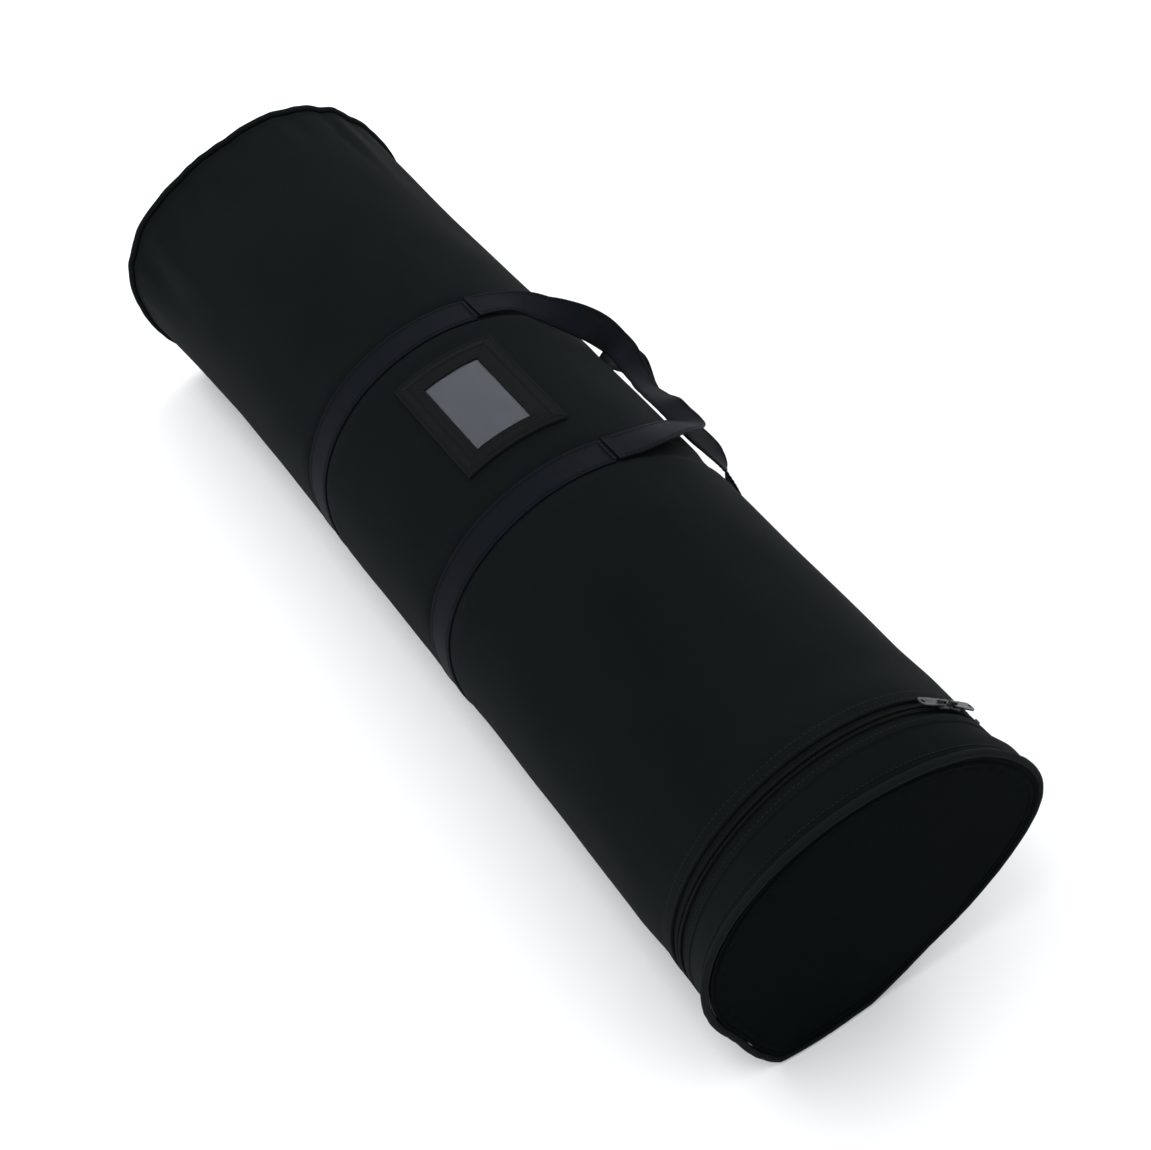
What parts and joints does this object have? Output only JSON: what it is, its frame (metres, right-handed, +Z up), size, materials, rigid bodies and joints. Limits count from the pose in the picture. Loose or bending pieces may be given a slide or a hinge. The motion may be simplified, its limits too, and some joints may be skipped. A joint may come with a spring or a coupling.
{
  "type": "drawing tube",
  "caption": "Soft round carrying tube for rolled drawings, with a zipped lid, two webbing handles and a name pocket.",
  "frame": {"origin": "on the ground, under the tube's axis and midway between its ends, as it lies", "axes": "+Y along the tube towards the closed end, +Z up, +X towards the side that the handles lie on"},
  "size_m": [0.3179, 1, 0.2829],
  "materials": {
    "black_fabric": "plain woven nylon, slight sheen",
    "navy_webbing": "flat ribbed webbing",
    "black_trim": "woven tape and piping",
    "black_lining": "thin lining cloth",
    "grey_foam": "closed foam sheet",
    "black_board": "plain sheet",
    "nickel": "dull nickel plate",
    "grey_card": "matt card",
    "clear_vinyl": "clear soft vinyl"
  },
  "bodies": {
    "tube": {"body_shell": "black_fabric", "body_stiffener": "grey_foam", "body_lining": "black_lining", "mouth_binding": "black_trim", "seam_binding": "black_trim", "end_panel": "black_fabric", "end_board": "black_board", "end_panel_lining": "black_lining", "end_piping": "black_trim", "lid_hinge_fabric": "black_fabric", "zip_tape_body": "black_trim", "zip_teeth_body": "black_trim", "zip_stop_upper": "nickel", "zip_stop_lower": "nickel", "strap_far": "navy_webbing", "strap_near": "navy_webbing", "id_backing": "black_fabric", "id_window": "clear_vinyl", "id_frame": "black_trim"},
    "lid": {"lid_panel": "black_fabric", "lid_board": "black_board", "lid_panel_lining": "black_lining", "lid_piping": "black_trim", "lid_band": "black_fabric", "lid_stiffener": "grey_foam", "lid_lining": "black_lining", "lid_binding": "black_trim", "zip_tape_lid": "black_trim", "zip_teeth_lid": "black_trim"},
    "left_slider": {"slider_left": "nickel"},
    "left_puller": {"puller_left": "nickel"},
    "right_slider": {"slider_right": "nickel"},
    "right_puller": {"puller_right": "nickel"},
    "front_handle": {"front_handle": "navy_webbing"},
    "back_handle": {"back_handle": "navy_webbing"},
    "card": {"id_card": "grey_card"}
  },
  "joints": [
    {"name": "lid_swing", "type": "hinge", "parent": "tube", "child": "lid", "pos_m": [0.1412, -0.46, 0.142], "axis": [0, 0, 1], "range_deg": [0, 150]},
    {"name": "left_slider_run", "type": "hinge", "parent": "tube", "child": "left_slider", "pos_m": [0, -0.4525, 0.142], "axis": [0, -1, 0], "range_deg": [0, 268]},
    {"name": "right_slider_run", "type": "hinge", "parent": "tube", "child": "right_slider", "pos_m": [0, -0.4525, 0.142], "axis": [0, 1, 0], "range_deg": [0, 17.5]},
    {"name": "left_puller_flip", "type": "hinge", "parent": "left_slider", "child": "left_puller", "pos_m": [0.07751, -0.4525, 0.26366], "axis": [0, 1, 0], "range_deg": [0, 130]},
    {"name": "right_puller_flip", "type": "hinge", "parent": "right_slider", "child": "right_puller", "pos_m": [0.08881, -0.4525, 0.25567], "axis": [0, -1, 0], "range_deg": [0, 130]},
    {"name": "front_handle_swing", "type": "hinge", "parent": "tube", "child": "front_handle", "pos_m": [0.01869, 0, 0.27505], "axis": [0, -1, 0], "range_deg": [0, 100]},
    {"name": "back_handle_swing", "type": "hinge", "parent": "tube", "child": "back_handle", "pos_m": [0.1323, 0, 0.0849], "axis": [0, 1, 0], "range_deg": [0, 100]},
    {"name": "card_slide", "type": "hinge", "parent": "tube", "child": "card", "pos_m": [0, 0, 0.12339], "axis": [0, 1, 0], "range_deg": [0, 18]}
  ]
}
